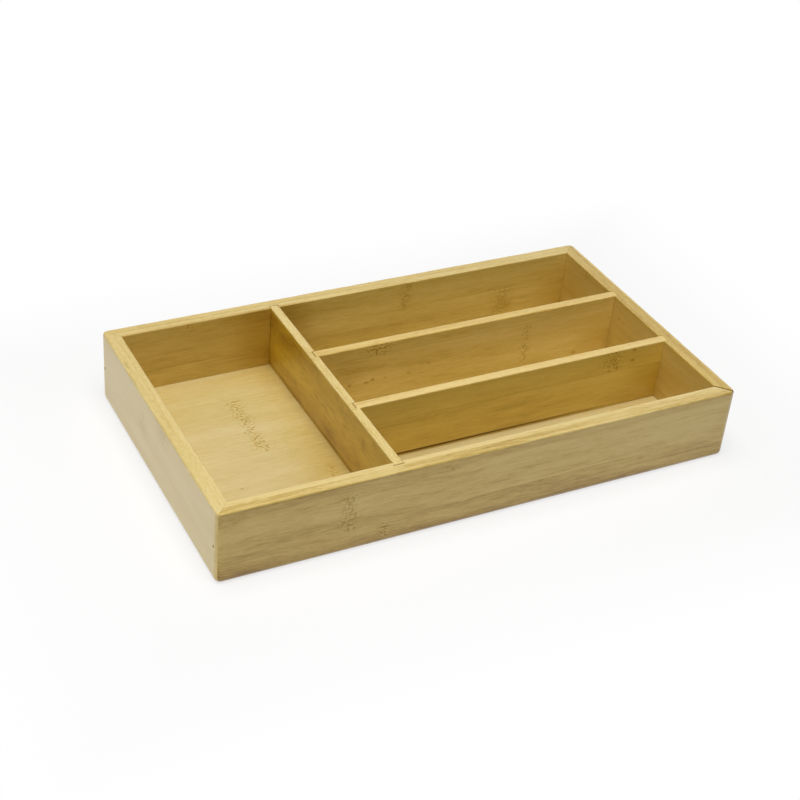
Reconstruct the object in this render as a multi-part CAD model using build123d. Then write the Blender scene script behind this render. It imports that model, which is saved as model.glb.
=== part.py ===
from build123d import *
import os

# A bamboo cutlery tray: four mitred walls round a thin floor panel, one cross divider, two long
# dividers and four corner brads. Lengths are in millimetres. The origin is the centre of the base,
# +X runs along the length from the short bay to the lanes, +Y runs to the back and +Z is up.

# Overall size and stock
tray_length = 350.0
tray_width = 200.0
tray_height = 50.0
wall_thickness = 10.0
cross_divider_thickness = 6.0
long_divider_thickness = 6.4
floor_thickness = 3.0

# Layout: clear length of the short bay, clear width of the middle lane, lift of the floor's underside
short_bay_length = 102.0
middle_lane_width = 54.0
floor_lift = 3.0

# Depths of the joints
floor_groove_depth = 4.0
wall_dado_depth = 3.0
cross_dado_depth = 2.5

# Clearances of the joints
panel_edge_clearance = 0.5
panel_top_clearance = 0.1
dado_end_clearance = 0.5
dado_side_clearance = 0.15

# Softened edges
outer_edge_radius = 4.0
rim_outer_radius = 1.2
rim_inner_radius = 0.6
divider_top_radius = 0.8
divider_foot_chamfer = 0.4

# Corner brads
brad_length = 20.0
brad_diameter = 1.2
brad_head_diameter = 2.0
brad_head_thickness = 0.8
brad_point_length = 2.0
brad_set_depth = 0.4
brad_bore_clearance = 0.02

# Sizes and positions that follow from the ones above
half_length = tray_length / 2
half_width = tray_width / 2
inner_length = tray_length - 2 * wall_thickness
inner_width = tray_width - 2 * wall_thickness
floor_top = floor_lift + floor_thickness
divider_height = tray_height - floor_top
cross_divider_x = short_bay_length + cross_divider_thickness / 2 - inner_length / 2
long_divider_y = (middle_lane_width + long_divider_thickness) / 2
brad_axis_y = half_width - wall_thickness / 2
brad_height = tray_height / 2

STANDING = (Align.CENTER, Align.CENTER, Align.MIN)
LEFT, RIGHT = -1, 1
FRONT, BACK = -1, 1


def outer_envelope():
    """The tray's outer form as one block, its upright, bottom and rim edges softened."""
    block = Box(tray_length, tray_width, tray_height, align=STANDING)
    upright_edges = block.edges().filter_by(Axis.Z)
    bottom_edges = block.faces().sort_by(Axis.Z)[0].edges()
    block = fillet(upright_edges + bottom_edges, outer_edge_radius)
    rim_edges = block.faces().sort_by(Axis.Z)[-1].edges()
    return fillet(rim_edges, rim_outer_radius)


def floor_groove():
    """The room that the floor panel's edge needs in all four walls."""
    length = inner_length + 2 * floor_groove_depth
    width = inner_width + 2 * floor_groove_depth
    return Pos(0, 0, floor_lift) * Box(length, width, floor_thickness + panel_top_clearance, align=STANDING)


def cross_divider_dado():
    """The slot for the cross divider, through the room inside and into the front and back walls.

    The divider sits against the slot's cheek towards the lanes and has its clearance at the other.
    """
    thickness = cross_divider_thickness + dado_side_clearance
    width = inner_width + 2 * wall_dado_depth
    middle_x = cross_divider_x - dado_side_clearance / 2
    return Pos(middle_x, 0, floor_top) * Box(thickness, width, tray_height, align=STANDING)


def long_divider_dado(side):
    """The slot for one long divider, from inside the cross divider into the right wall.

    The divider sits against the slot's back cheek and has its clearance at the front one.
    """
    start_x = cross_divider_x + cross_divider_thickness / 2 - cross_dado_depth
    end_x = inner_length / 2 + wall_dado_depth
    thickness = long_divider_thickness + dado_side_clearance
    middle_y = side * long_divider_y - dado_side_clearance / 2
    slot = Box(end_x - start_x, thickness, tray_height, align=STANDING)
    return Pos((start_x + end_x) / 2, middle_y, floor_top) * slot


def at_brad(x_side, y_side, shape):
    """Moves a shape from the brad's own frame, head at the origin and point along +X, to one corner."""
    turn = 0 if x_side == LEFT else 180
    head_x = x_side * (half_length - brad_set_depth)
    return Pos(head_x, y_side * brad_axis_y, brad_height) * Rot(0, 0, turn) * shape


def brad():
    """One brad in its own frame: flat head, round shank and a conical point."""
    point_x = brad_length - brad_point_length
    head = extrude(Plane.YZ * Circle(brad_head_diameter / 2), brad_head_thickness)
    shank = extrude(Plane.YZ * Circle(brad_diameter / 2), point_x)
    point = Cone(brad_diameter / 2, 0, brad_point_length, align=STANDING)
    return head + shank + Pos(point_x, 0, 0) * Rot(0, 90, 0) * point


def brad_bore():
    """The pocket and hole for one brad, in the brad's own frame; the pocket opens past the wall's face."""
    pocket_radius = brad_head_diameter / 2 + brad_bore_clearance
    hole_radius = brad_diameter / 2 + brad_bore_clearance
    pocket_plane = Plane.YZ.offset(-2 * brad_set_depth)
    pocket = extrude(pocket_plane * Circle(pocket_radius), 2 * brad_set_depth + brad_head_thickness)
    hole = extrude(Plane.YZ * Circle(hole_radius), brad_length + brad_bore_clearance)
    return pocket + hole


def mitre_corners(x_side, y_side):
    """A point of the mitre line outside one corner of the tray, and the corner inside."""
    outside = (x_side * (half_length + wall_thickness), y_side * (half_width + wall_thickness))
    inside = (x_side * inner_length / 2, y_side * inner_width / 2)
    return outside, inside


def plain_wall(first_corner, second_corner):
    """One wall between the mitres of two corners, with its groove, soft inner rim and brad bores."""
    outside_one, inside_one = mitre_corners(*first_corner)
    outside_two, inside_two = mitre_corners(*second_corner)
    outline = Polyline(outside_one, outside_two, inside_two, inside_one, close=True)
    wall = outer_envelope() & extrude(make_face(outline), tray_height)
    inner_rim = wall.edges().sort_by_distance((0, 0, tray_height))[0]
    wall = fillet(inner_rim, rim_inner_radius) - floor_groove()
    for corner in (first_corner, second_corner):
        wall -= at_brad(*corner, brad_bore())
    return wall


def front_or_back_wall(y_side):
    """A long wall, with the cross divider's dado in its inner face."""
    return plain_wall((LEFT, y_side), (RIGHT, y_side)) - cross_divider_dado()


def left_wall():
    """The short wall at the end of the short bay."""
    return plain_wall((LEFT, FRONT), (LEFT, BACK))


def right_wall():
    """The short wall at the end of the lanes, with the long dividers' dados in its inner face."""
    wall = plain_wall((RIGHT, FRONT), (RIGHT, BACK))
    for side in (FRONT, BACK):
        wall -= long_divider_dado(side)
    return wall


def floor_panel():
    """The thin floor, resting in the walls' grooves with room round its edge."""
    let_in = floor_groove_depth - panel_edge_clearance
    panel = Box(inner_length + 2 * let_in, inner_width + 2 * let_in, floor_thickness, align=STANDING)
    return Pos(0, 0, floor_lift) * panel


def upright_board(length, thickness):
    """A divider board along X, its two top edges rounded and its two foot edges eased."""
    board = Box(length, thickness, divider_height, align=STANDING)
    lengthwise = board.edges().filter_by(Axis.X).group_by(Axis.Z)
    board = fillet(lengthwise[-1], divider_top_radius)
    foot_edges = board.edges().filter_by(Axis.X).group_by(Axis.Z)[0]
    return chamfer(foot_edges, divider_foot_chamfer)


def cross_divider():
    """The divider across the tray, dadoed for the ends of the long dividers."""
    length = inner_width + 2 * (wall_dado_depth - dado_end_clearance)
    board = Pos(cross_divider_x, 0, floor_top) * Rot(0, 0, 90) * upright_board(length, cross_divider_thickness)
    for side in (FRONT, BACK):
        board -= long_divider_dado(side)
    return board


def long_divider(side):
    """One divider along the lanes, let into the cross divider and the right wall."""
    start_x = cross_divider_x + cross_divider_thickness / 2 - cross_dado_depth + dado_end_clearance
    end_x = inner_length / 2 + wall_dado_depth - dado_end_clearance
    board = upright_board(end_x - start_x, long_divider_thickness)
    return Pos((start_x + end_x) / 2, side * long_divider_y, floor_top) * board


def corner_brads():
    """The four brads driven through the left and right walls into the front and back walls."""
    corners = [(x_side, y_side) for x_side in (LEFT, RIGHT) for y_side in (FRONT, BACK)]
    return Compound([at_brad(*corner, brad()).solid() for corner in corners])


tray_pieces = {
    "front_wall": front_or_back_wall(FRONT),
    "back_wall": front_or_back_wall(BACK),
    "left_wall": left_wall(),
    "right_wall": right_wall(),
    "floor_panel": floor_panel(),
    "cross_divider": cross_divider(),
    "rear_long_divider": long_divider(BACK),
    "front_long_divider": long_divider(FRONT),
    "corner_brads": corner_brads(),
}

os.makedirs("parts", exist_ok=True)
for name, piece in tray_pieces.items():
    export_step(piece, f"parts/{name}.step")
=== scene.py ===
import math
from dataclasses import dataclass

import bmesh
import bpy
from bpy.props import FloatProperty, FloatVectorProperty, PointerProperty
from bpy.types import Operator, Panel, PropertyGroup
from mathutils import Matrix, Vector


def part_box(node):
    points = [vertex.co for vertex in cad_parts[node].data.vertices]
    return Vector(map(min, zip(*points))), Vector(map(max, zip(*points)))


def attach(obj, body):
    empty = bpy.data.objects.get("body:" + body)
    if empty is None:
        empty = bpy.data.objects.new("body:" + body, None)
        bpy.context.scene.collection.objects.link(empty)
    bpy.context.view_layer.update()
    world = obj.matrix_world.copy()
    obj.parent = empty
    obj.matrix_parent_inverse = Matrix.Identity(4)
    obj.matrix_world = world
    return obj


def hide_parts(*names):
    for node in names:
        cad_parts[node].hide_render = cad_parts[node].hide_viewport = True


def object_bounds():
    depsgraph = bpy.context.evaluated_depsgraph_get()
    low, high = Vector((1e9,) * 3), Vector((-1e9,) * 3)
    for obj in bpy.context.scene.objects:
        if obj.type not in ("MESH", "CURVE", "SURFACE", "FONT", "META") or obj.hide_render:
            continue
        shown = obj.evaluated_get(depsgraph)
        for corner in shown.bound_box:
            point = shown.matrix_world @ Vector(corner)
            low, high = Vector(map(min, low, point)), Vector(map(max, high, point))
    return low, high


bl_info = {
    "name": "Bamboo cutlery tray",
    "version": (1, 0, 0),
    "blender": (4, 5, 0),
    "location": "3D View > Sidebar > Tray",
    "description": "Builds a bamboo cutlery tray piece by piece on its packed frame, with its stage",
    "category": "Add Mesh",
}

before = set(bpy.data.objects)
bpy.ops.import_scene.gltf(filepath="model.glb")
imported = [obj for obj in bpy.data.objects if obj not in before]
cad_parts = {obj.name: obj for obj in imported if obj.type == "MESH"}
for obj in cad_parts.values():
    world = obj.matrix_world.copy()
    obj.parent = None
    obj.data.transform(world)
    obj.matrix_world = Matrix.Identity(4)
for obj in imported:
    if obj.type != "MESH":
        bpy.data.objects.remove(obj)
CAD_LOW, CAD_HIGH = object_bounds()
MM = 0.001
HALF_LENGTH, HALF_WIDTH, HEIGHT = CAD_HIGH.x, CAD_HIGH.y, CAD_HIGH.z
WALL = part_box("front_wall")[1].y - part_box("front_wall")[0].y
FLOOR_LOW, FLOOR_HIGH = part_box("floor_panel")
CROSS_LOW, CROSS_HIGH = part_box("cross_divider")
LONG_DIVIDERS = ("rear_long_divider", "front_long_divider")


# Settings that a user would change


def length(label, text, millimetres):
    """A length setting with its default given in millimetres."""
    return FloatProperty(name=label, description=text, default=millimetres * MM, unit="LENGTH", precision=5)


def share(label, text, value):
    """A setting between nothing and all."""
    return FloatProperty(name=label, description=text, default=value, min=0.0, max=1.0, subtype="FACTOR")


def tint(label, text, rgb):
    """A colour setting."""
    return FloatVectorProperty(name=label, description=text, default=rgb, min=0.0, max=1.0, subtype="COLOR")


def power(label, text, watts):
    """A lamp's power."""
    return FloatProperty(name=label, description=text, default=watts, unit="POWER")


class TraySizes(PropertyGroup):
    """Small sizes of the woodwork that the frame's boxes don't give."""

    edge_radius: length("Outer edges", "Radius of the upright and bottom edges outside", 4.0)
    rim_outer_radius: length("Rim, outside", "Radius of the rim's outer edge", 1.2)
    rim_inner_radius: length("Rim, inside", "Radius of the rim's inner edge", 0.6)
    divider_top_radius: length("Divider tops", "Radius of the dividers' top edges", 0.8)
    divider_foot_ease: length("Divider feet", "Ease of the dividers' foot edges", 0.4)
    arris: length("Sanded arris", "Ease that sanding leaves on every sharp edge", 0.08)
    groove_depth: length("Floor groove", "Depth of the groove for the floor panel", 4.0)
    groove_headroom: length("Groove headroom", "Room above the floor panel in its groove", 0.1)
    wall_dado_depth: length("Wall slots", "Depth of the dividers' slots in the walls", 3.0)
    cross_dado_depth: length("Cross divider slots", "Depth of the slots in the cross divider", 2.5)
    dado_side_room: length("Slot side room", "Room at the open cheek of each slot", 0.15)
    tight_room: length("Tight slot room", "Room round the long dividers' ends in the right wall", 0.03)
    rim_step: length("Rim steps", "Distance between the places where the rim's sanding changes", 1.6)
    mitre_opening: length("Open mitre", "How far the front right mitre stands open", 0.5)


class BradSizes(PropertyGroup):
    """Sizes of the corner brads."""

    head_radius: length("Head radius", "Radius of a brad's head", 1.0)
    head_thickness: length("Head thickness", "Thickness of a brad's head", 0.8)
    shank_radius: length("Shank radius", "Radius of a brad's shank", 0.6)
    brad_length: length("Length", "Length of a brad over all", 20.0)
    point_length: length("Point", "Length of a brad's point", 2.0)
    set_depth: length("Set", "How far a brad's head is set below the wall's face", 0.4)
    bore_room: length("Bore room", "Room round a brad in its bore", 0.02)


class BambooLook(PropertyGroup):
    """Colours and finish of the lacquered bamboo, and of the brads."""

    pale: tint("Pale wood", "The palest strips", (0.775, 0.595, 0.215))
    straw: tint("Straw", "The bulk of the wood", (0.68, 0.49, 0.135))
    fibre: tint("Fibre", "The dark fibres", (0.50, 0.32, 0.038))
    umber: tint("Umber", "The darkest streaks", (0.30, 0.155, 0.006))
    knuckle: tint("Knuckle", "The specks where a cane had its joints", (0.39, 0.22, 0.012))
    # The seam colour also fills the painted shade lines at the dividers' feet and along the rims' rounded
    # outer edges
    seam: tint("Seam", "Glue lines and grime in the joints", (0.10, 0.042, 0.003))
    # The amber colour is multiplied in as painted shade in corners, low on faces and by the feet, and as some
    # darker strips of the wood
    shade_and_tone_amber: tint("Amber", "What is left of the wood's colour where lacquer gathers", (0.60, 0.45, 0.05))
    lacquer: share("Lacquer", "Weight of the clear coat", 0.75)
    lacquer_roughness: share("Lacquer roughness", "Roughness of the clear coat", 0.3)
    steel: tint("Brad steel", "Colour of the brads", (0.50, 0.46, 0.38))


class StageLook(PropertyGroup):
    """Camera, lamps and backdrop."""

    camera_place: FloatVectorProperty(
        name="Camera place", description="Where the camera stands", default=(-0.437079, -0.750116, 0.612037),
        subtype="TRANSLATION", unit="LENGTH", precision=5,
    )
    camera_turn: FloatVectorProperty(
        name="Camera turn", description="How the camera is turned", default=(0.969627, -0.077042, -0.463845),
        subtype="EULER", unit="ROTATION", precision=5,
    )
    lens: FloatProperty(name="Lens", description="Focal length in millimetres", default=73.627, unit="CAMERA")
    sky: share("Sky", "Strength of the even light from all round", 0.03)
    floor_bounce: share("Floor bounce", "How much light the floor throws back at the tray", 0.64)
    floor_glow: share("Floor glow", "How much of the shadow the white floor swallows", 0.72)
    top_lamp: power("Top lamp", "Power of the lamp overhead", 13.3)
    front_lamp: power("Front lamp", "Power of the lamp above the front", 10.4)
    left_lamp: power("Left lamp", "Power of the low lamp at the left", 2.2)


# Shaders as expressions


def joined(operation, swapped=False):
    """A method of Term that joins it and another by one math operation."""

    def method(self, other):
        first, second = (other, self) if swapped else (self, other)
        return self._math(operation, first, second)

    return method


class Term:
    """A shader socket, a value or a vector, that takes part in arithmetic.

    Above is 1 where the term is above a limit and else 0. Least and most are the lower and the higher
    of it and another.
    """

    __add__ = __radd__ = joined("ADD")
    __sub__, __rsub__ = joined("SUBTRACT"), joined("SUBTRACT", swapped=True)
    __mul__ = __rmul__ = joined("MULTIPLY")
    __truediv__ = joined("DIVIDE")
    __rpow__ = joined("POWER", swapped=True)
    above = joined("GREATER_THAN")
    least = joined("MINIMUM")
    most = joined("MAXIMUM")

    def __init__(self, shader, socket):
        self.shader = shader
        self.socket = socket
        self.is_vector = socket.type == "VECTOR"

    def _math(self, operation, *terms):
        """One Math node, or a Vector Math node where a vector takes part."""
        kind = "ShaderNodeMath"
        if any(isinstance(term, tuple) or getattr(term, "is_vector", False) for term in terms):
            kind = "ShaderNodeVectorMath"
            terms = [(term,) * 3 if isinstance(term, (int, float)) else term for term in terms]
        return self.shader.node(kind, {"operation": operation}, enumerate(terms))

    def __neg__(self):
        return self * -1.0

    def __abs__(self):
        return self._math("ABSOLUTE", self)

    def ramp(self, low, high):
        """0 at low, 1 at high, smooth between and level outside."""
        settings = {"interpolation_type": "SMOOTHSTEP"}
        sockets = {"Value": self, "From Min": low, "From Max": high}
        return self.shader.node("ShaderNodeMapRange", settings, sockets)

    def bell(self, middle, width):
        """1 at the middle, falling to a third a width away and to nothing at about two."""
        offset = (self - middle) / width
        return math.e ** -(offset * offset)

    def spot(self, middle, half, firm=False):
        """For a point: a bell about a middle, with a half size along each axis, or a flat-topped one."""
        offset = (self - middle) / half
        settings = {"operation": "DOT_PRODUCT"}
        squared = self.shader.node("ShaderNodeVectorMath", settings, {0: offset, 1: offset}, output=1)
        return math.e ** -(squared * squared if firm else squared)


class Shader:
    """The nodes of one material or world, written as expressions on its coordinates."""

    def __init__(self, owner):
        self.owner = owner
        owner.use_nodes = True
        self.tree = owner.node_tree
        self.tree.nodes.clear()

    def node(self, kind, settings=(), sockets=(), output=0):
        """Adds a node, sets it, feeds its sockets with values or terms and gives one output."""
        made = self.tree.nodes.new(kind)
        settings = dict(settings)
        stops = settings.pop("stops", None)
        for key, value in settings.items():
            setattr(made, key, value)
        if stops:
            elements = made.color_ramp.elements
            while len(elements) < len(stops):
                elements.new(0.5)
            for element, (place, colour) in zip(elements, stops):
                element.position = place
                element.color = (*colour, 1.0)
        for key, value in dict(sockets).items():
            if isinstance(value, Term):
                self.tree.links.new(value.socket, made.inputs[key])
            else:
                made.inputs[key].default_value = value
        return Term(self, made.outputs[output])

    def join(self, x, y, z):
        """A vector from its three parts."""
        return self.node("ShaderNodeCombineXYZ", sockets={0: x, 1: y, 2: z})

    def place(self):
        """The point on the object in millimetres, as three terms."""
        coordinates = self.node("ShaderNodeTexCoord", output="Object")
        parts = self.node("ShaderNodeSeparateXYZ", sockets={0: coordinates}).socket.node.outputs
        return [Term(self, part) * (1.0 / MM) for part in parts]

    def noise(self, vector, detail=2.0, roughness=0.5):
        """Smooth noise between 0 and 1, about 0.5."""
        sockets = {"Vector": vector, "Scale": 1.0, "Detail": detail, "Roughness": roughness}
        return self.node("ShaderNodeTexNoise", {"noise_dimensions": "3D"}, sockets)

    def blend(self, factor, first, second, mode="MIX"):
        """Two colours mixed by a factor."""
        settings = {"data_type": "RGBA", "blend_type": mode}
        first, second = (part if isinstance(part, Term) else (*part, 1.0) for part in (first, second))
        return self.node("ShaderNodeMix", settings, {0: factor, 6: first, 7: second}, output=2)

    def bump(self, height, strength, reach):
        """The surface's direction as a height roughens it, up to a reach in metres."""
        sockets = {"Strength": strength, "Distance": reach, "Height": height}
        return self.node("ShaderNodeBump", sockets=sockets)

    def surface(self, shader, kind="ShaderNodeOutputMaterial"):
        """Ends the nodes with a shader and gives their owner."""
        out = self.tree.nodes.new(kind)
        self.tree.links.new(shader.socket, out.inputs["Surface"])
        return self.owner


# Bamboo


@dataclass
class Board:
    """How one board's bamboo lies and what is found on it, in millimetres.

    u runs along the grain, v across the face and w into the board, whose near face is side 0 and far
    face side 1, a depth away. Seed tells its patterns from those of other boards. Layers are the
    depths w of its glue lines, and layer_tones how much paler each layer shows on the board's top edge.
    Strips are, for each side, the places v where its strips meet, and face_tones how much paler each
    side is; where a side lies in shadow this is painted light. A knuckle, where the cane had a joint,
    is (side, u, v from, v to, half width, strength). Shades make a spot paler or darker, some as the
    wood's own tone and some as painted light and painted shade. The amber spots darken a spot towards
    amber: mostly painted shade in corners, low on faces and by the feet, and some darker strips and
    specks of the wood. Marks are stains, dark joint lines and painted shade lines at the dividers' feet
    and along the rims' rounded outer edges. Each spot is the (u, v, w) of its middle, its half sizes
    along u, v and w, and its strength. Mitres are how dark the mitre lines are at the start and end of
    the grain. Tint colours the whole board, face_tint all but its top edge; on some boards both partly
    paint how differently the faces are lit. Unrest is how far the fibres stray from straight, figure
    how strongly they show, bands how strongly broad bands of them differ, mottle how cloudy the faces
    are and dotted_top how strongly the top edge is dotted.
    """

    seed: float
    u: tuple
    v: tuple
    w: tuple
    depth: float
    tint: tuple = (1, 1, 1)
    face_tint: tuple = ()
    face_tones: tuple = (0, 0)
    mitres: tuple = ()
    layers: tuple = ()
    layer_tones: tuple = (0,)
    strips: tuple = ((), ())
    figure: float = 1.0
    unrest: float = 0.35
    bands: float = 1.4
    mottle: float = 0.0
    dotted_top: float = 0.0
    knuckles: tuple = ()
    shades: tuple = ()
    shade_and_tone_ambers: tuple = ()
    marks: tuple = ()


# The tray's half length, half width, height and walls, and how deep a spot reaches, in millimetres
LONG, WIDE, TOP, WALL_DEPTH = HALF_LENGTH / MM, HALF_WIDTH / MM, HEIGHT / MM, WALL / MM
FACE_SPOT_DEPTH, TOP_SPOT_DEPTH = 2.0, 1.5


def along(part, start, sign=1):
    """A board axis: a coordinate's index, the millimetres where it starts, and its sense."""
    return part, start, sign


def near(u, v, half_u, half_v, strength):
    """A spot on a board's near face."""
    return (u, v, 0.0), (half_u, half_v, FACE_SPOT_DEPTH), strength


def far(u, v, half_u, half_v, strength):
    """A spot on a wall's far face."""
    return (u, v, WALL_DEPTH), (half_u, half_v, FACE_SPOT_DEPTH), strength


def top(u, w, half_u, half_w, strength):
    """A spot on a board's top edge."""
    return (u, 0.0, w), (half_u, TOP_SPOT_DEPTH, half_w), strength


# The sense in which v runs on an upright board, down from the rim
DOWN = along(2, TOP, -1)

# The wood's patterns: waves a millimetre along, across and into the board, the sense of the board's
# seed, and the noise's detail and roughness
DRIFT = ((0.012, 0.04, 0.05), 1.0, 2.0, 0.5)
WANDER = ((0.045, 0.13, 0.13), -1.0, 2.0, 0.5)
KINK = ((0.28, 0.4, 0.4), 1.0, 1.0, 0.5)
BROAD = ((0.011, 0.085, 0.25), 1.0, 2.0, 0.55)
WISPS = ((0.034, 0.42, 0.50), 1.0, 3.0, 0.65)
FINE = ((0.080, 0.90, 1.00), -1.0, 2.0, 0.65)
CLOUDS = ((0.055, 0.10, 0.2), 1.0, 3.0, 0.6)
FLECKS = ((0.22, 0.70, 0.70), -1.0, 3.0, 0.7)
PORES = ((0.50, 0.65, 0.65), 1.0, 2.0, 0.55)
DOTS = ((0.9, 0.9, 1.1), -1.0, 2.0, 0.6)

# How far, in millimetres, fibres drift, wander and wind about a knuckle, how much a strip's may lean,
# how far apart strips lie in the patterns, and the numbers that tell strips and layers apart
DRIFT_REACH, WANDER_REACH, KINK_REACH, LEAN = 9.0, 3.0, 3.0, 0.06
STRIP_SHIFT, STRIP_LOT, LAYER_LOT = 170.0, 3.7, 17.0

# A knuckle's outline: its waves a millimetre across and along the board and their own lot, how far it
# sways in half widths, and how ragged and how soft its ends are in millimetres
WAVES_ACROSS, WAVES_ALONG, WAVE_LOT, SWAY, RAGGED_ENDS, SOFT_END = 0.20, 0.05, 3.1, 3.4, 5.0, 1.0

# The tone that the patterns move, and what turns a tone into its place among the colours, from the
# darkest streak to the palest strip
MIDDLE_TONE, TONE_SPAN, TONE_START = 0.55, 0.7, 0.3
COLOUR_PLACES = (0.0, 0.3, 0.66, 1.0)

# How much each pattern moves the tone
WISP_TONE, FINE_TONE, FLECK_TONE, TOP_FLECK_TONE = 0.75, 1.7, 0.9, 1.2
STRIP_TONE, CROSSING_TONE, PALE_PORE_TONE = 0.2, 0.08, 0.55

# The values between which a pattern, or a distance in millimetres, goes from nothing to all
PALE_PORES, DARK_PORES, DARK_DOTS, STAINED = (-0.14, -0.04), (0.0, 0.07), (0.0, 0.14), (0.4, 0.7)
TOP_EDGE, MITRE_EDGE = (0.5, 1.3), (0.35, 0.95)

# How much of the colour specks and glue lines take
SPECK_SHARE, GLUE_SHARE, GLUE_MOST = 0.95, 0.3, 0.6

# In millimetres, the half widths of the glue lines between strips and between layers, how far strips
# and layers wave, and how soft a layer's edge is; and how faint the layers' glue is
STRIP_GLUE, LAYER_GLUE, STRIP_WAVE, LAYER_WAVE, LAYER_EDGE = 0.25, 0.2, 2.0, 0.6, 0.3
LAYER_GLUE_SHARE = 0.6

# What each pattern adds to the relief, to the roughness of grime and painted shade lines, and to the lacquer
RELIEF = {"wisps": 0.1, "fine": 0.12, "specks": -0.6, "glue": -0.4, "crossing": 0.2}
RELIEF_STRENGTH, RELIEF_REACH = 0.15, 0.12
ROUGHNESS = {"clean": -0.43, "fine": -0.15, "wisps": -0.1, "specks": 0.15}
GRIME_AND_SHADE_ROUGHNESS = 0.85
LACQUER = {"clean": 1.0, "specks": -0.7}


class Wood(Shader):
    """The bamboo of one board, on the board's own coordinates."""

    def __init__(self, name, board):
        super().__init__(bpy.data.materials.new(name))
        self.board = board
        self.tray_place = self.place()
        axes = (board.u, board.v, board.w)
        self.u, self.v, self.w = (sign * (self.tray_place[part] - start) for part, start, sign in axes)
        self.point = self.join(self.u, self.v, self.w)
        far_side = self.w.above(board.depth / 2)
        self.sides = (1.0 - far_side, far_side)
        self.on_top = 1.0 - self.v.ramp(*TOP_EDGE) if board.v == DOWN else 0.0
        self.drift = self.pattern(self.point, DRIFT)
        self.layer_place = self.w + self.drift * LAYER_WAVE
        self.crossing, self.speckled = self.knuckles()
        self.lot, self.glue = self.strips()
        lie = self.lie()
        self.broad = self.pattern(lie, BROAD)
        self.wisps = self.pattern(lie, WISPS)
        self.fine = self.pattern(lie, FINE)
        self.pores = self.pattern(self.point, PORES)
        self.specks = self.dark_specks()
        # Where there are no stains, grime or painted shade lines
        self.clean = 1.0 - self.grime_and_shade()

    def pattern(self, where, kind):
        """One of the wood's patterns, between -0.5 and 0.5."""
        scale, sense, detail, roughness = kind
        return self.noise(where * scale + sense * self.board.seed, detail, roughness) - 0.5

    def spots(self, found, firm=True):
        """The sum of a board's spots of one kind, soft or flat-topped."""
        return sum((self.point.spot(middle, half, firm) * strength for middle, half, strength in found), 0.0)

    def knuckles(self):
        """How far each point lies in a knuckle, and how strongly it is speckled there."""
        crossing = 0.0
        speckled = 0.0
        for index, (side, middle, low, high, width, strength) in enumerate(self.board.knuckles):
            lot = self.board.seed + WAVE_LOT * index
            wave = self.noise(self.join(self.v * WAVES_ACROSS, lot, self.u * WAVES_ALONG)) - 0.5
            ends = wave * RAGGED_ENDS + self.v
            band = (self.u + wave * (width * SWAY)).bell(middle, width) * self.sides[side]
            band = band * ends.ramp(low - SOFT_END, low + SOFT_END)
            band = band * (1.0 - ends.ramp(high - SOFT_END, high + SOFT_END))
            crossing = band + crossing
            speckled = band * strength + speckled
        return crossing, speckled

    def strips(self):
        """A random number for each strip that the board is pressed from, and the glue between them."""
        layer = sum((self.w.above(depth) for depth in self.board.layers), 0.0)
        strip = layer * LAYER_LOT + self.board.seed
        glue = 0.0
        for side, joints in enumerate(self.board.strips):
            for joint in joints:
                edge = self.drift * STRIP_WAVE + self.v - joint
                strip = edge.above(0.0) * self.sides[side] * STRIP_LOT + strip
                glue = edge.bell(0.0, STRIP_GLUE) * self.sides[side] + glue
        for depth in self.board.layers:
            glue = self.layer_place.bell(depth, LAYER_GLUE) * LAYER_GLUE_SHARE + glue
        lot = self.node("ShaderNodeTexWhiteNoise", {"noise_dimensions": "1D"}, {"W": strip})
        return lot - 0.5, glue

    def lie(self):
        """Where each point lies among fibres that wander, lean and wind about the knuckles."""
        unrest = self.board.unrest
        wander = self.pattern(self.point, WANDER)
        kink = self.pattern(self.point, KINK)
        across = self.v + self.drift * (DRIFT_REACH * unrest) + wander * (WANDER_REACH * unrest)
        across = across + kink * (self.crossing * KINK_REACH) + self.u * self.lot * (LEAN * unrest)
        return self.join(self.u + self.lot * STRIP_SHIFT, across, self.w + self.drift * STRIP_WAVE)

    def layer_tone(self):
        """How much paler the layers show on the top edge."""
        board = self.board
        tone = board.layer_tones[0]
        for depth, before, after in zip(board.layers, board.layer_tones, board.layer_tones[1:]):
            deeper = self.layer_place.ramp(depth - LAYER_EDGE, depth + LAYER_EDGE)
            tone = deeper * (after - before) + tone
        return tone

    def tone(self):
        """How pale the wood is at each point."""
        board = self.board
        on_face = 1.0 - self.on_top
        tone = self.broad * board.bands + self.wisps * (WISP_TONE * board.figure)
        tone = tone + self.fine * (FINE_TONE * board.figure) + self.lot * STRIP_TONE
        tone = tone + (MIDDLE_TONE - self.crossing * CROSSING_TONE)
        if board.mottle:
            tone = on_face * self.pattern(self.point, CLOUDS) * board.mottle + tone
        # face_tones: on some boards painted light on a side that lies in shadow
        for side, paler in enumerate(board.face_tones):
            if paler:
                tone = on_face * (self.sides[side] * paler) + tone
        fleck_tone = FLECK_TONE * board.figure
        fleck_tone = self.on_top * (TOP_FLECK_TONE - fleck_tone) + fleck_tone
        tone = self.pattern(self.point, FLECKS) * fleck_tone + self.on_top * self.layer_tone() + tone
        # Shades: some the wood's own tone, some painted light and painted shade
        tone = self.spots(board.shades, firm=False) + tone
        pale_pores = (1.0 - self.pores.ramp(*PALE_PORES)) * self.speckled
        return pale_pores * PALE_PORE_TONE + tone

    def dark_specks(self):
        """The dark pores of the knuckles and the dots of a top edge."""
        specks = self.pores.ramp(*DARK_PORES) * self.speckled
        if self.board.dotted_top:
            dots = self.pattern(self.point, DOTS).ramp(*DARK_DOTS)
            specks = dots * self.on_top * self.board.dotted_top + specks
        return specks.least(1.0)

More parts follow.
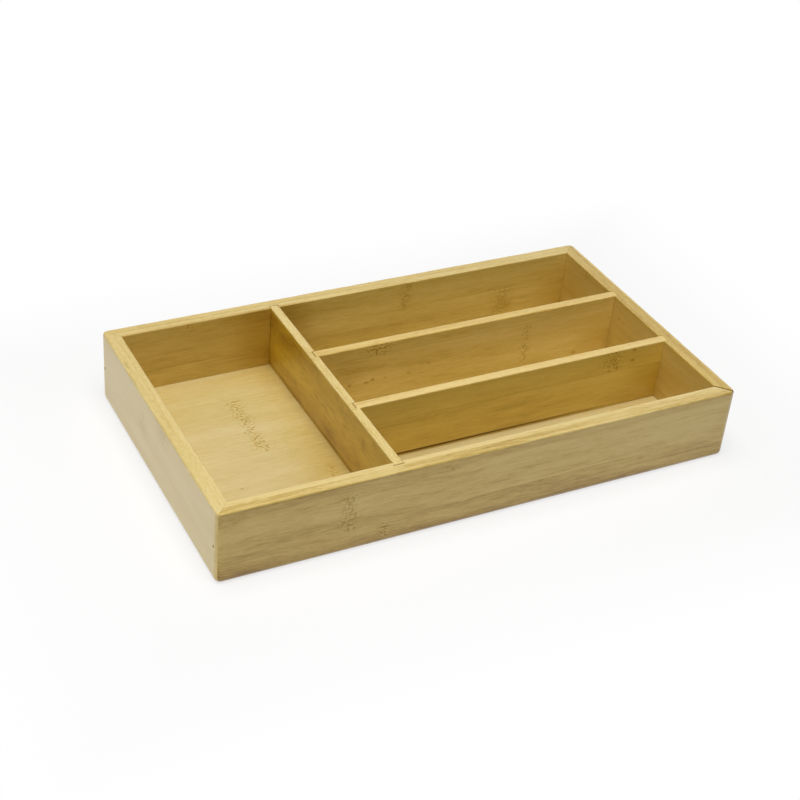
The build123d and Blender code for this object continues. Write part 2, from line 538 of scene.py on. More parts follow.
    def grime_and_shade(self):
        """The stains, the dark joint lines, the painted shade lines at the feet and along rounded rim edges,
        and the grime in the mitres.
        """
        grime_and_shade = self.spots(self.board.marks)
        if self.board.mitres:
            start, end = self.board.mitres
            x, y = self.tray_place[:2]
            mitre = abs(abs(x) - abs(y) - (LONG - WIDE))
            depth = self.on_top * (self.u.above(WIDE) * (end - start) + start)
            grime_and_shade = depth * (1.0 - mitre.ramp(*MITRE_EDGE)) + grime_and_shade
        return grime_and_shade.least(1.0) if isinstance(grime_and_shade, Term) else grime_and_shade

    def total(self, shares):
        """The sum of the patterns, each times its share."""
        return sum(getattr(self, name) * part for name, part in shares.items())

    def colour(self, look):
        """The lacquered wood's colour."""
        board = self.board
        stops = []
        for place, rgb in zip(COLOUR_PLACES, (look.umber, look.fibre, look.straw, look.pale)):
            stops.append((place, [min(1.0, part * gain) for part, gain in zip(rgb, board.tint)]))
        place = self.tone() * TONE_SPAN + TONE_START
        colour = self.node("ShaderNodeValToRGB", {"stops": stops}, {"Fac": place})
        # face_tint: on some boards partly painted light and shade, for how the faces are lit apart from the
        # top edge
        if board.face_tint:
            colour = self.blend(1.0 - self.on_top, colour, board.face_tint, "MULTIPLY")
        # Amber spots: mostly painted shade in corners, low on faces and by the feet, and some darker strips
        # and specks of the wood
        if board.shade_and_tone_ambers:
            painted_shade_and_tone = self.spots(board.shade_and_tone_ambers).least(1.0)
            colour = self.blend(painted_shade_and_tone, colour, look.shade_and_tone_amber, "MULTIPLY")
        colour = self.blend(self.specks * SPECK_SHARE, colour, look.knuckle)
        colour = self.blend((self.glue * GLUE_SHARE).least(GLUE_MOST), colour, look.fibre)
        # Stains, mitre grime, joint lines and painted shade lines take the seam colour
        return self.blend(self.clean, look.seam, colour)


def bamboo(name, board, look):
    """The lacquered bamboo of one board."""
    wood = Wood(name, board)
    sockets = {
        "Base Color": wood.colour(look),
        "Roughness": wood.total(ROUGHNESS) + GRIME_AND_SHADE_ROUGHNESS,
        "Normal": wood.bump(wood.total(RELIEF), RELIEF_STRENGTH, RELIEF_REACH * MM),
        "Coat Weight": wood.total(LACQUER) * look.lacquer,
        "Coat Roughness": look.lacquer_roughness,
    }
    return wood.surface(wood.node("ShaderNodeBsdfPrincipled", sockets=sockets))


# The steel's turning marks and stains, as waves a millimetre, and what they do to it
TURNING_MARKS, STAINS = (9.0, 1.5, 1.5), (0.8, 0.8, 0.8)
MARK_STRENGTH, MARK_REACH, STAIN_SHARE, STEEL_ROUGHNESS, STAIN_ROUGHNESS = 0.3, 0.03, 0.55, 0.38, 0.2


def steel(name, look):
    """The drawn steel of the brads, dulled, with fine turning marks."""
    shader = Shader(bpy.data.materials.new(name))
    where = shader.join(*shader.place())
    stain = shader.noise(where * STAINS, 3.0)
    stained = [part * STAIN_SHARE for part in look.steel]
    sockets = {
        "Base Color": shader.blend(stain.ramp(*STAINED), look.steel, stained),
        "Metallic": 1.0,
        "Roughness": STEEL_ROUGHNESS + stain * STAIN_ROUGHNESS,
        "Normal": shader.bump(shader.noise(where * TURNING_MARKS), MARK_STRENGTH, MARK_REACH * MM),
    }
    return shader.surface(shader.node("ShaderNodeBsdfPrincipled", sockets=sockets))


# Mesh work

# Steps of the rounded edges, of a corner's turn in each wall and of a turned form
BOTTOM_STEPS, RIM_OUTER_STEPS, RIM_INNER_STEPS, DIVIDER_STEPS = 8, 5, 4, 5
CORNER_STEPS, ROUND_STEPS = 6, 32
# Points closer than this are one, in metres
WELD = 1e-6
# Edges sharper than this are sanded
SHARP = math.radians(32.0)
# The power by which the open mitre closes downwards, and the steps over which sanding evens out
OPENING_TAPER, CALM_STEPS = 3, 5
# The waves of a rim's hand sanding: their lengths, as millimetres a radian, and their heights
SANDING_WAVES = ((7.3, 0.45), (3.1, 0.25), (1.7, 0.15), (17.0, 0.3))
# The height to which the slots' cutters reach, above the rim
CUTTER_TOP = HEIGHT * 1.2
# Shares of a brad's head: its eased rim, its middle and its arris, and of its shank: its blunt tip
HEAD_RIM, HEAD_MIDDLE, HEAD_ARRIS, TIP = 0.15, 0.5, 0.03, 0.08


def mesh_from_rings(name, *forms):
    """A mesh of closed forms, each through rings of points with a face over its first and last ring."""
    mesh = bpy.data.meshes.new(name)
    work = bmesh.new()
    for rings in forms:
        grid = [[work.verts.new(point) for point in ring] for ring in rings]
        count = len(grid[0])
        for ring, following in zip(grid, grid[1:]):
            for index in range(count):
                after = (index + 1) % count
                work.faces.new((ring[index], ring[after], following[after], following[index]))
        work.faces.new(grid[0])
        work.faces.new(tuple(reversed(grid[-1])))
    bmesh.ops.remove_doubles(work, verts=work.verts, dist=WELD)
    bmesh.ops.dissolve_degenerate(work, dist=WELD, edges=work.edges)
    bmesh.ops.recalc_face_normals(work, faces=work.faces)
    work.to_mesh(mesh)
    work.free()
    return mesh


def linked(name, mesh):
    """A new object in the scene."""
    made = bpy.data.objects.new(name, mesh)
    bpy.context.scene.collection.objects.link(made)
    return made


def block_rings(low, high):
    """The bottom and the top of a block."""
    corners = ((low.x, low.y), (high.x, low.y), (high.x, high.y), (low.x, high.y))
    return [[Vector((x, y, z)) for x, y in corners] for z in (low.z, high.z)]


def slot_cutter(low, high):
    """A block that cuts a slot."""
    return linked("slot_cutter", mesh_from_rings("slot_cutter", block_rings(low, high)))


def turned(outline, place, sense):
    """Rings of a form turned about X from (distance, radius) pairs, set at a place, facing a sense."""
    rings = []
    for distance, radius in outline:
        ring = []
        for step in range(ROUND_STEPS):
            angle = 2 * math.pi * step / ROUND_STEPS
            across = Vector((0.0, math.cos(angle), math.sin(angle))) * radius
            ring.append(place + Vector((sense * distance, 0.0, 0.0)) + across)
        rings.append(ring)
    return rings


def finished(made, cutters, arris, material, node):
    """Cuts a piece, sands its sharp edges, dresses it and lets it stand for its node."""
    for cutter in cutters:
        cut = made.modifiers.new("slot", "BOOLEAN")
        cut.operation = "DIFFERENCE"
        cut.solver = "EXACT"
        cut.object = cutter
    sanded = made.modifiers.new("sanded arris", "BEVEL")
    sanded.width = arris
    sanded.segments = 2
    sanded.limit_method = "ANGLE"
    sanded.angle_limit = SHARP
    sanded.use_clamp_overlap = False
    for face in made.data.polygons:
        face.use_smooth = True
    even = made.modifiers.new("even shading", "WEIGHTED_NORMAL")
    even.keep_sharp = True
    bpy.context.view_layer.update()
    graph = bpy.context.evaluated_depsgraph_get()
    shape = bpy.data.meshes.new_from_object(made.evaluated_get(graph), depsgraph=graph)
    made.modifiers.clear()
    made.data = shape
    for cutter in cutters:
        bpy.data.objects.remove(cutter)
    if not shape.polygons:
        raise RuntimeError(f"{made.name} came out empty")
    shape.materials.clear()
    shape.materials.append(material)
    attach(made, "root")
    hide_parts(node)


def bamboo_piece(context, node, rings, cutters, board):
    """One bamboo piece through its rings, cut, sanded and dressed."""
    made = linked("bamboo_" + node, mesh_from_rings(node, rings))
    material = bamboo("bamboo_of_" + node, board, context.scene.tray_bamboo)
    finished(made, cutters, context.scene.tray_sizes.arris, material, node)


def quarter(radius, steps, rising):
    """(inset, height) pairs of a quarter round between a face and an edge."""
    angles = [math.pi / 2 * step / steps for step in range(steps + 1)]
    pairs = [(radius * (1 - math.cos(angle)), radius * (1 - math.sin(angle))) for angle in angles]
    return pairs if rising else pairs[::-1]


def unevenness(place, seed):
    """How much more, or less, a rim was sanded by hand at a place along it, mostly between -1 and 1."""
    return sum(height * math.sin(place / (reach * MM) + seed * reach) for reach, height in SANDING_WAVES)


def wall_profile(sizes, more=0.0):
    """A wall's section as (inset from outside, height) pairs, its rim's outer edge sanded a share more."""
    groove_in = WALL - sizes.groove_depth
    groove_top = FLOOR_HIGH.z + sizes.groove_headroom
    bottom = quarter(sizes.edge_radius, BOTTOM_STEPS, rising=False)
    rim = quarter(sizes.rim_outer_radius * (1 + more), RIM_OUTER_STEPS, rising=True)
    rim_outside = [(inset, HEIGHT - drop) for inset, drop in rim]
    eased = quarter(sizes.rim_inner_radius, RIM_INNER_STEPS, rising=False)
    rim_inside = [(WALL - inset, HEIGHT - drop) for inset, drop in eased]
    groove = [(WALL, groove_top), (groove_in, groove_top), (groove_in, FLOOR_LOW.z), (WALL, FLOOR_LOW.z)]
    return bottom + rim_outside + rim_inside + groove + [(WALL, 0.0)]


def wall_rings(sizes, half_run, half_reach, outward, openings, roughly):
    """Rings of a wall from mitre to mitre, its ends following the tray's rounded corners.

    The openings are how far each end stands back from its mitre, and roughly is how unevenly the
    rim's outer edge was sanded.
    """
    run = Vector((-outward.y, outward.x, 0.0))
    radius = sizes.edge_radius
    turns = [(-1.0, math.pi / 4 * (1 + step / CORNER_STEPS)) for step in range(CORNER_STEPS + 1)]
    turns += [(1.0, angle) for end, angle in reversed(turns)]

    def point(along_run, reach, height):
        """A point from its place along the wall, how far out it lies and its height."""
        return run * along_run + outward * reach + Vector((0.0, 0.0, height))

    rings = []
    for end, angle in turns:
        ring = []
        for inset, height in wall_profile(sizes):
            bend = max(radius - inset, 0.0)
            centre = max(radius, inset)
            opening = openings[end > 0] * (height / HEIGHT) ** OPENING_TAPER
            along_run = end * (half_run - centre + bend * math.cos(angle) - opening)
            reach = half_reach - centre + bend * math.sin(angle)
            ring.append(point(along_run, reach, height))
        rings.append(ring)
    straight = half_run - WALL - sizes.rim_step
    steps = round(2 * straight / sizes.rim_step)
    between = []
    for step in range(steps + 1):
        along_run = straight * (2 * step / steps - 1)
        calm = min(1.0, (straight - abs(along_run)) / (CALM_STEPS * sizes.rim_step))
        more = roughly * calm * unevenness(along_run, half_run + outward.x)
        profile = wall_profile(sizes, more)
        between.append([point(along_run, half_reach - inset, height) for inset, height in profile])
    return rings[: CORNER_STEPS + 1] + between + rings[CORNER_STEPS + 1 :]


def divider_rings(sizes, low, high, run):
    """Rings of an upright divider, its top edges rounded and its foot edges eased."""
    half = (high - low).dot(Vector((run.y, run.x, 0.0))) / 2
    ease = sizes.divider_foot_ease
    rounded = quarter(sizes.divider_top_radius, DIVIDER_STEPS, rising=True)
    side = [(half - ease, low.z), (half, low.z + ease)]
    side += [(half - inset, high.z - drop) for inset, drop in rounded]
    section = side + [(-across, height) for across, height in reversed(side)]
    aside = Vector((-run.y, run.x, 0.0))
    middle = (low + high) / 2
    half_run = (high - low).dot(run) / 2
    rings = []
    for end in (-half_run, half_run):
        level = Vector((middle.x, middle.y, 0.0)) + run * end
        rings.append([level + aside * across + Vector((0.0, 0.0, height)) for across, height in section])
    return rings


def cross_slot(sizes):
    """Cutter for the cross divider's slots in the front and back walls."""
    reach = HALF_WIDTH - WALL + sizes.wall_dado_depth
    low = Vector((CROSS_LOW.x - sizes.dado_side_room, -reach, FLOOR_HIGH.z))
    return slot_cutter(low, Vector((CROSS_HIGH.x, reach, CUTTER_TOP)))


def long_slots(sizes, room):
    """Cutters for the long dividers' slots, with their room at the open cheek and past the end."""
    cutters = []
    for node in LONG_DIVIDERS:
        low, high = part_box(node)
        start = Vector((CROSS_HIGH.x - sizes.cross_dado_depth, low.y - room, FLOOR_HIGH.z))
        cutters.append(slot_cutter(start, Vector((high.x + room, high.y, CUTTER_TOP))))
    return cutters


def brad_places(brads):
    """Where each brad's head lies, and the sense in which it points."""
    x, y = HALF_LENGTH - brads.set_depth, HALF_WIDTH - WALL / 2
    sides = (-1.0, 1.0)
    return [(Vector((side * x, end * y, HEIGHT / 2)), -side) for side in sides for end in sides]


def brad_cutters(brads, outward):
    """Cutters for the bores of the brads at one side of the tray."""
    room, depth = brads.bore_room, brads.head_thickness
    wide, narrow = brads.head_radius + room, brads.shank_radius + room
    end = brads.brad_length + room
    outline = ((-2 * brads.set_depth, wide), (depth, wide), (depth, narrow), (end, narrow))
    cutters = []
    for head, sense in brad_places(brads):
        if head.dot(outward) > 0:
            mesh = mesh_from_rings("brad_cutter", turned(outline, head, sense))
            cutters.append(linked("brad_cutter", mesh))
    return cutters


# What each board looks like, from u, v and w in millimetres

FRONT_WALL = Board(
    11, along(0, -LONG), DOWN, along(1, -WIDE), WALL_DEPTH,
    tint=(1, 1, 1.05), face_tint=(1.06, 1.01, 0.78), mitres=(0.04, 1), layers=(2.4, 5.8),
    layer_tones=(-0.14, -0.16, 0.22), strips=((5, 32), (17, 38)), figure=0.8, unrest=0.7, bands=2,
    knuckles=(
        (0, 81, 8, 34, 3.8, 0.88), (0, 105, 34.5, 45, 4.2, 0.85), (0, 146, 4, 9, 6, 0.35),
        (1, 250, 6, 17, 4, 0.6),
    ),
    shades=(
        near(72, 11, 5, 0.7, -0.5), near(140, 32.1, 45, 0.6, 0.35), near(245, 30.6, 60, 0.6, 0.35),
        near(137, 34.6, 24, 1.8, -0.2), near(200, 25.2, 28, 0.7, -0.3), near(290, 38.9, 56, 1.1, -0.45),
        near(265, 35.5, 75, 4, -0.14), near(323, 29, 25, 0.6, 0.25), near(300, 13, 80, 18, 0.3),
        # near(175, 47.5), darker at the foot of the face, is painted shade, and top(175, 9.2) on the next
        # line, paler along the rim's inner edge, is a painted highlight
        near(175, 47.5, 400, 4.5, -0.5), ((310, 0, 4), (50, 1.2, 5), -0.15), near(8, 9, 8, 3, -0.3),
        near(150, 4.5, 40, 3, 0.2), top(175, 9.2, 400, 1.2, 0.3), ((20, 4, 0), (90, 2.5, 1.5), -0.12),
        top(90, 2.2, 100, 2.4, 0.1), top(10, 3.8, 24, 2.8, 0.24),
    ),
    # The second amber spot, low on the face, is painted shade; the first is a darker strip of the wood
    shade_and_tone_ambers=(((175, 3.7, 0), (400, 2.8, 0.9), 0.16), near(175, 49, 400, 10, 0.12)),
    marks=(
        # The first three marks are the cross divider's joint on the rim; the two on the next line darken the
        # rim's rounded outer edge as painted shade
        top(111.4, 7, 0.9, 0.3, 0.8), top(118.3, 7, 0.7, 0.3, 0.7), top(115, 7, 2.6, 0.22, 0.35),
        ((175, 1, 0), (400, 0.9, 0.9), 0.17), ((50, 0.8, 0), (70, 0.9, 0.9), 0.2),
    ),
)

BACK_WALL = Board(
    23, along(0, -LONG), DOWN, along(1, WIDE, -1), WALL_DEPTH,
    # face_tones pales the outer face, which lies in shadow: painted light
    face_tint=(1.02, 1.02, 0.82), face_tones=(0.12, 0), mitres=(0.1, 0.12), layers=(2.4, 5.8),
    layer_tones=(-0.06, -0.02, 0.08), strips=((12, 31), (20, 30)), figure=0.55,
    knuckles=(
        (1, 55, 0.5, 6, 3, 0.6), (1, 212, 0.5, 20, 4, 0.5), (1, 290, 20, 40, 6, 0.5),
        (0, 120, 12, 31, 4, 0.8),
    ),
    shades=(
        far(50, 20, 60, 35, -0.16), far(53, 19.8, 12, 0.7, -0.4), far(56, 30, 30, 0.7, -0.35),
        # far(215, 4) here, paler near the top of the face in the lanes, is painted light
        far(290, 30, 12, 9, -0.3), far(212, 9, 5, 9, -0.2), far(215, 4, 120, 9, 0.18),
    ),
    # All amber spots here are painted shade: in the corners by the cross divider and the right wall, over the
    # bay and low in the lanes
    shade_and_tone_ambers=(
        far(114, 25, 26, 60, 0.66), far(34, 25, 66, 60, 0.28), far(346, 35, 34, 22, 0.42),
        far(178, 33, 88, 9.5, 0.24), far(76, 25, 17, 60, 0.12),
    ),
    marks=(top(111.6, 7, 0.8, 0.35, 0.45), top(117, 7, 3, 0.3, 0.25)),
)

LEFT_WALL = Board(
    37, along(1, WIDE, -1), DOWN, along(0, -LONG), WALL_DEPTH,
    # The bluer tint and the brighter face_tint partly paint the pale sheen of the outer face at a grazing
    # angle
    tint=(1.03, 1.06, 1.21), face_tint=(1.21, 1.18, 1.01), face_tones=(0.1, 0), mitres=(0.1, 0.05),
    layers=(2.4, 5.8), layer_tones=(-0.1, -0.08, 0.1), strips=((), (9, 30)), figure=0.25, bands=0.9,
    knuckles=((0, 112, 0.5, 12, 6, 0.15), (0, 78, 10, 25, 5, 0.12), (1, 60, 9, 30, 4, 0.7)),
    shades=(near(112, 6, 10, 7, -0.25), near(78, 18, 9, 8, -0.22), top(192, 4, 48, 9, 0.35)),
    # The last mark darkens the rim's rounded outer edge: painted shade
    marks=(top(42, 2, 4, 1, 0.22), top(60, 1, 9, 0.5, 0.15), ((100, 0.3, 0.3), (400, 1, 1), 0.06)),
)

RIGHT_WALL = Board(
    41, along(1, WIDE, -1), DOWN, along(0, LONG, -1), WALL_DEPTH,
    # face_tones pales the outer face, which lies in shadow: painted light. face_tint partly paints the dimmer
    # light on the faces
    tint=(1, 0.97, 0.78), face_tint=(0.86, 0.835, 0.855), face_tones=(0.22, 0), mitres=(0.15, 1),
    layers=(2.4, 6.6), layer_tones=(0, -0.52, -0.4), strips=((14, 33), (13, 36)), figure=0.4,
    knuckles=((1, 37, 0.5, 8, 3, 0.5), (0, 130, 14, 33, 4, 0.8)),
    shades=(top(50, 0, 60, 2, 0.35), top(170, 0, 45, 3, -0.3)),
    # This amber spot is painted shade on the inner face, near the back wall
    shade_and_tone_ambers=(far(34, 14, 27, 24, 0.2),),
    marks=(far(82, 13, 1.2, 0.6, 0.4), far(88, 13.2, 0.9, 0.5, 0.4)),
)

FLOOR = Board(
    53, along(0, -LONG + WALL_DEPTH), along(1, WIDE - WALL_DEPTH, -1), along(2, FLOOR_HIGH.z / MM, -1), 3,
    tint=(0.95, 1.01, 1.33), face_tones=(0.12, 0), strips=((29.5, 90.5, 134), (60, 120)), figure=0.45,
    unrest=0.8, bands=0.6, mottle=0.4,
    knuckles=((0, 62, 30.5, 89.5, 4.2, 0.75), (0, 94, 117, 129, 3.4, 0.7), (0, 215, 75, 118, 4.5, 0.6)),
    shades=(
        near(50, 45, 80, 32, 0.14), near(88, 112, 24, 22, -0.25), near(60, 2, 60, 14, -0.16),
        # near(96, 55) darkens the floor beside the cross divider's foot: painted shade. near(50, 0.5) pales
        # it at the back wall's foot and near(215, 127) pales the strip seen in the front lane: painted light
        near(96, 55, 8, 70, -0.12), near(50, 0.5, 38, 4.5, 0.4), near(215, 127, 90, 4.5, 0.28),
    ),
    shade_and_tone_ambers=(
        # near(106, 4), near(104, 118) and near(96, 55) are painted shade beside the cross divider
        near(106, 4, 27, 30, 0.24), near(104, 118, 26, 34, 0.15), near(64, 118, 90, 30, 0.14),
        near(96, 55, 9, 80, 0.07),
    ),
    marks=(near(34, 120, 1.3, 0.7, 0.35),),
)

CROSS_DIVIDER = Board(
    67, along(1, WIDE - WALL_DEPTH, -1), DOWN, along(0, CROSS_LOW.x / MM), 6,
    # face_tint partly paints the dim light, warmed between the walls, on the faces
    tint=(1.04, 1.04, 1.04), face_tint=(0.9, 0.81, 0.17), face_tones=(0.12, 0), layer_tones=(0.3,),
    strips=((27.3,), (20,)), figure=1.2, unrest=0.8, mottle=2, dotted_top=0.4,
    knuckles=((0, 96, 27.5, 43, 7, 0.45), (1, 40, 0.5, 20, 4, 0.6)),
    shades=(
        near(100, 21, 90, 5, 0.2), near(130, 31, 60, 5, -0.2), near(142, 11.5, 2.5, 4, -0.3),
        near(99, 16, 5, 2, -0.25), near(112, 10, 3, 1.5, -0.35), near(20, 9, 26, 7, -0.35),
        near(93, 35, 7, 8, -0.4), near(103, 39, 5, 2.5, -0.5), near(45, 24, 14, 3, 0.25),
        near(36, 4.5, 16, 3.5, 0.25),
    ),
    shade_and_tone_ambers=(
        # near(10, 13) and near(0, 25) are painted shade where the divider meets the back wall, and near(90,
        # 42) low on the face is painted shade; near(90, 37.3) is the darker lower strip of the wood
        near(10, 13, 34, 12, 0.22), near(62, 9, 90, 7, 0.3), near(0, 25, 9, 60, 0.12),
        near(90, 42, 200, 18, 0.12), near(90, 37.3, 200, 8.8, 0.32),
    ),
    # Both marks are the painted shade line along the divider's foot
    marks=(((90, 41.8, 0), (200, 1.1, 1), 0.35), ((98, 42, 0), (12, 1, 1), 0.2)),
)

# The dark line round a long divider's end, in its slot in the cross divider
SLOT_MARKS = (top(-2.3, 3.2, 0.3, 3.4, 0.8), top(-2.1, -0.1, 0.8, 0.4, 0.6))

REAR_DIVIDER = Board(
    71, along(0, CROSS_HIGH.x / MM), DOWN, along(1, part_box("rear_long_divider")[0].y / MM), 6.4,
    tint=(1.06, 1.01, 0.88), face_tint=(1.04, 1.09, 1.12), face_tones=(0.14, 0.05), layer_tones=(0.05,),
    strips=((8,), (26,)), figure=0.5,
    knuckles=((0, 42, 0.3, 8, 7, 0.9), (0, 154, 8, 40, 3, 0.55), (1, 90, 0.5, 26, 4, 0.7)),
    shades=(near(90, 4, 80, 4, -0.1), near(12, 22, 22, 40, -0.24), near(185, 12, 50, 14, 0.18)),
    shade_and_tone_ambers=(
        # near(230, 38), low at the end by the right wall, is painted shade; the small amber spots are dark
        # specks of the wood
        near(230, 38, 36, 19, 0.32), near(23, 28, 1.5, 1.1, 0.7), near(35, 28.4, 2, 1, 0.65),
        near(39.5, 27, 1.6, 1.2, 0.7), near(49, 27.5, 1.2, 1, 0.3), near(66, 27.5, 1.5, 1.2, 0.4),
        near(80, 23, 1.4, 0.9, 0.45), near(195, 40, 2, 1.2, 0.6),
    ),
    marks=SLOT_MARKS,
)

FRONT_DIVIDER = Board(
    83, along(0, CROSS_HIGH.x / MM), DOWN, along(1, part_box("front_long_divider")[0].y / MM), 6.4,
    tint=(1.08, 1.04, 1), face_tint=(1.01, 1.04, 0.66), face_tones=(0.02, 0.05), layer_tones=(0.18,),
    strips=((16,), (22,)), figure=0.5,
    knuckles=((0, 184, 0.3, 16, 6, 0.8), (1, 60, 22, 43, 4, 0.7)),
    shades=(
        # near(110, 42), darker towards the foot, is painted shade
        near(109, 26, 10, 1.2, -0.4), near(110, 5, 150, 9, 0.15), near(110, 42, 150, 16, -0.2),
        near(215, 6, 38, 9, 0.35),
    ),
    shade_and_tone_ambers=(
        # near(230, 36) and near(225, 23) at the end by the right wall, and near(100, 45) low on the face, are
        # painted shade; the two small spots are dark specks
        near(230, 36, 40, 19, 0.44), near(225, 23, 38, 7, 0.16), near(100, 45, 170, 22, 0.2),
        near(199, 2, 1.4, 1.3, 0.7), near(199, 10, 1.7, 1.1, 0.7),
    ),
    # The first mark is the painted shade of the gap under the divider's foot; SLOT_MARKS is its joint in the
    # cross divider
    marks=(near(50, 42.2, 132, 0.8, 0.95), *SLOT_MARKS),
)


# Operators, one for each piece or group of like pieces


class TRAY_OT_walls(Operator):
    """Builds the four mitred walls"""

    bl_idname = "tray.walls"
    bl_label = "Walls"

    def execute(self, context):
        sizes, brads = context.scene.tray_sizes, context.scene.tray_brads
        closed = (0.0, 0.0)
        walls = (
            ("front_wall", (0.0, -1.0), (0.0, sizes.mitre_opening), 0.3, FRONT_WALL),
            ("back_wall", (0.0, 1.0), closed, 0.2, BACK_WALL),
            ("left_wall", (-1.0, 0.0), closed, 0.6, LEFT_WALL),
            ("right_wall", (1.0, 0.0), closed, 0.2, RIGHT_WALL),
        )
        for node, outward, openings, roughly, board in walls:
            outward = Vector((*outward, 0.0))
            half_run, half_reach = (HALF_LENGTH, HALF_WIDTH) if outward.y else (HALF_WIDTH, HALF_LENGTH)
            rings = wall_rings(sizes, half_run, half_reach, outward, openings, roughly)
            cutters = brad_cutters(brads, outward)
            if outward.y:
                cutters.append(cross_slot(sizes))
            elif outward.x > 0:
                cutters += long_slots(sizes, sizes.tight_room)
            bamboo_piece(context, node, rings, cutters, board)
        return {"FINISHED"}


class TRAY_OT_floor_panel(Operator):
    """Builds the thin floor panel"""

    bl_idname = "tray.floor_panel"
    bl_label = "Floor panel"

    def execute(self, context):
        rings = block_rings(FLOOR_LOW, FLOOR_HIGH)
        bamboo_piece(context, "floor_panel", rings, [], FLOOR)
        return {"FINISHED"}


class TRAY_OT_cross_divider(Operator):
    """Builds the divider across the tray"""

    bl_idname = "tray.cross_divider"
    bl_label = "Cross divider"

    def execute(self, context):
        sizes = context.scene.tray_sizes
        rings = divider_rings(sizes, CROSS_LOW, CROSS_HIGH, Vector((0.0, 1.0, 0.0)))
        cutters = long_slots(sizes, sizes.dado_side_room)
        bamboo_piece(context, "cross_divider", rings, cutters, CROSS_DIVIDER)
        return {"FINISHED"}


class TRAY_OT_long_dividers(Operator):
    """Builds the two dividers along the lanes"""

    bl_idname = "tray.long_dividers"
    bl_label = "Long dividers"

    def execute(self, context):
        for node, board in zip(LONG_DIVIDERS, (REAR_DIVIDER, FRONT_DIVIDER)):
            rings = divider_rings(context.scene.tray_sizes, *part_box(node), Vector((1.0, 0.0, 0.0)))
            bamboo_piece(context, node, rings, [], board)
        return {"FINISHED"}


class TRAY_OT_corner_brads(Operator):
    """Builds the brads that pin the corners"""

    bl_idname = "tray.corner_brads"
    bl_label = "Corner brads"

    def execute(self, context):
        brads, look = context.scene.tray_brads, context.scene.tray_bamboo
        head, shank = brads.head_radius, brads.shank_radius
        rim = head * HEAD_RIM
        outline = (
            (0.0, head * HEAD_MIDDLE), (0.0, head - rim), (rim, head), (brads.head_thickness, head),
            (brads.head_thickness, shank), (brads.brad_length - brads.point_length, shank),
            (brads.brad_length, shank * TIP),
        )
        forms = [turned(outline, place, sense) for place, sense in brad_places(brads)]
        made = linked("steel_corner_brads", mesh_from_rings("corner_brads", *forms))
        material = steel("brad_steel", look)
        finished(made, [], head * HEAD_ARRIS, material, "corner_brads")
        return {"FINISHED"}


# Each lamp's name, side and place
LAMPS = (
    ("top_lamp", 0.8, (-0.22, 0.0, 1.6)),
    ("front_lamp", 0.8, (-0.15, -0.55, 1.5)),
    ("left_lamp", 1.0, (-1.5, 0.0, 0.55)),
)
# Half the stage floor's side in metres, how far beyond the tray its shadow ends in millimetres, and
# the shares of the way there from the middle between which it fades
FLOOR_REACH, SHADOW_REACH, SHADOW_FADE = 6.0, 90.0, (0.7, 1.3)
WHITE, FLOOR_WHITE = (1.0, 1.0, 1.0), (0.95, 0.95, 0.95)
SENSOR_WIDTH = 36.0


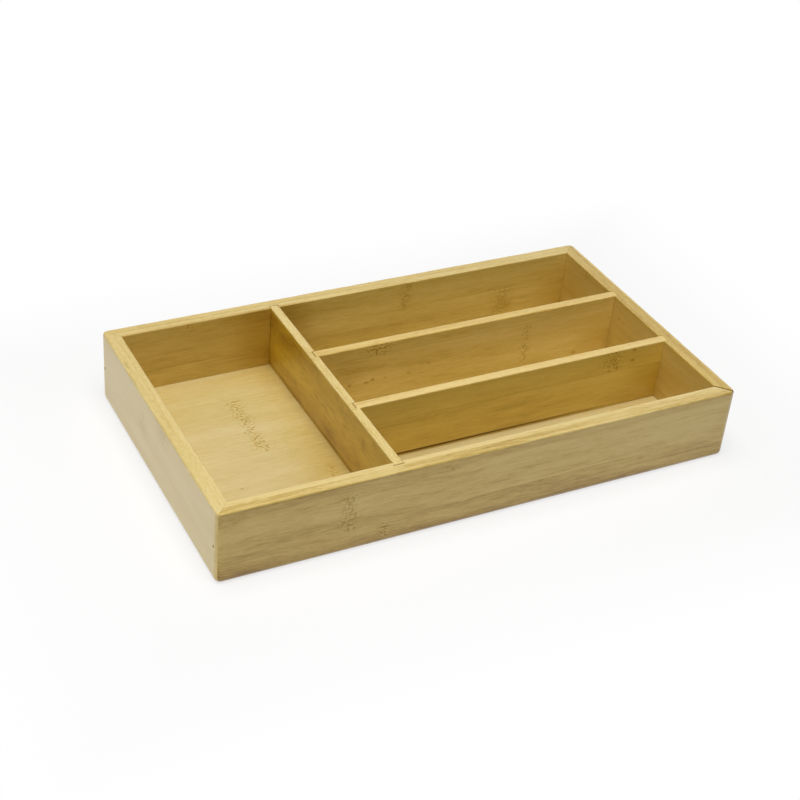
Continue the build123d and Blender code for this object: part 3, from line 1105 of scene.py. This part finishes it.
class TRAY_OT_stage(Operator):
    """Builds the floor, the lamps and the camera"""

    bl_idname = "tray.stage"
    bl_label = "Stage"

    def execute(self, context):
        stage = context.scene.tray_stage
        self.floor(stage)
        self.sky(context, stage)
        for name, size, place in LAMPS:
            self.lamp(name, getattr(stage, name), size, Vector(place))
        self.camera(context, stage)
        return {"FINISHED"}

    def floor(self, stage):
        """A pale floor that the camera and reflections see as white, and that keeps the tray's shadow."""
        mesh = bpy.data.meshes.new("stage_floor")
        reach = Vector((FLOOR_REACH, FLOOR_REACH, 0.0))
        mesh.from_pydata(block_rings(-reach, reach)[0], [], [range(4)])
        made = linked("stage_floor", mesh)
        shader = Shader(bpy.data.materials.new("stage_floor"))
        seen = self.seen(shader)
        colour = shader.blend(seen, (stage.floor_bounce,) * 3, FLOOR_WHITE)
        matt = shader.node("ShaderNodeBsdfDiffuse", sockets={"Color": colour})
        white = shader.node("ShaderNodeEmission", sockets={"Color": (*WHITE, 1.0), "Strength": 1.0})
        x, y = shader.place()[:2]
        away = (abs(x) / (LONG + SHADOW_REACH)).most(abs(y) / (WIDE + SHADOW_REACH)).ramp(*SHADOW_FADE)
        whiteness = seen * (away * (1.0 - stage.floor_glow) + stage.floor_glow)
        mixed = shader.node("ShaderNodeMixShader", sockets={0: whiteness, 1: matt, 2: white})
        mesh.materials.append(shader.surface(mixed))

    def sky(self, context, stage):
        """Even light all round, seen as plain white."""
        shader = Shader(bpy.data.worlds.new("stage_sky"))
        strength = stage.sky + self.seen(shader) * (1.0 - stage.sky)
        light = shader.node("ShaderNodeBackground", sockets={"Color": (*WHITE, 1.0), "Strength": strength})
        context.scene.world = shader.surface(light, "ShaderNodeOutputWorld")

    def seen(self, shader):
        """1 for camera, reflected and transmitted rays."""
        names = ("Is Camera Ray", "Is Glossy Ray", "Is Transmission Ray")
        camera, glossy, through = (shader.node("ShaderNodeLightPath", output=name) for name in names)
        return camera.most(glossy).most(through)

    def lamp(self, name, watts, size, place):
        """A soft square lamp that looks at the tray."""
        data = bpy.data.lights.new(name, "AREA")
        data.energy = watts
        data.size = size
        made = linked(name, data)
        made.location = place
        made.rotation_euler = (-place).to_track_quat("-Z", "Y").to_euler()
        made.visible_glossy = False

    def camera(self, context, stage):
        """The camera at the photograph's angle."""
        data = bpy.data.cameras.new("stage_camera")
        data.lens = stage.lens
        data.sensor_width = SENSOR_WIDTH
        made = linked("stage_camera", data)
        made.location = stage.camera_place
        made.rotation_euler = stage.camera_turn
        context.scene.camera = made
        context.scene.view_settings.view_transform = "Standard"


PIECES = (
    TRAY_OT_walls,
    TRAY_OT_floor_panel,
    TRAY_OT_cross_divider,
    TRAY_OT_long_dividers,
    TRAY_OT_corner_brads,
    TRAY_OT_stage,
)


class TRAY_PT_panel(Panel):
    """Lists the settings and the pieces"""

    bl_idname = "TRAY_PT_panel"
    bl_label = "Cutlery tray"
    bl_space_type = "VIEW_3D"
    bl_region_type = "UI"
    bl_category = "Tray"

    def draw(self, context):
        for group in GROUPS:
            box = self.layout.box()
            settings = getattr(context.scene, group)
            for name in settings.__annotations__:
                box.prop(settings, name)
        for piece in PIECES:
            self.layout.operator(piece.bl_idname)


GROUPS = {
    "tray_sizes": TraySizes,
    "tray_brads": BradSizes,
    "tray_bamboo": BambooLook,
    "tray_stage": StageLook,
}


def register():
    """Makes the settings, the operators and the panel known to Blender."""
    for group in GROUPS.values():
        bpy.utils.register_class(group)
    for name, group in GROUPS.items():
        setattr(bpy.types.Scene, name, PointerProperty(type=group))
    for piece in (*PIECES, TRAY_PT_panel):
        bpy.utils.register_class(piece)


def unregister():
    """Takes them away again."""
    for piece in reversed((*PIECES, TRAY_PT_panel)):
        bpy.utils.unregister_class(piece)
    for name in GROUPS:
        delattr(bpy.types.Scene, name)
    for group in reversed(list(GROUPS.values())):
        bpy.utils.unregister_class(group)


def main():
    """Builds every piece and the stage."""
    register()
    for piece in PIECES:
        getattr(bpy.ops.tray, piece.bl_idname.removeprefix("tray."))()


if __name__ == "__main__":
    main()
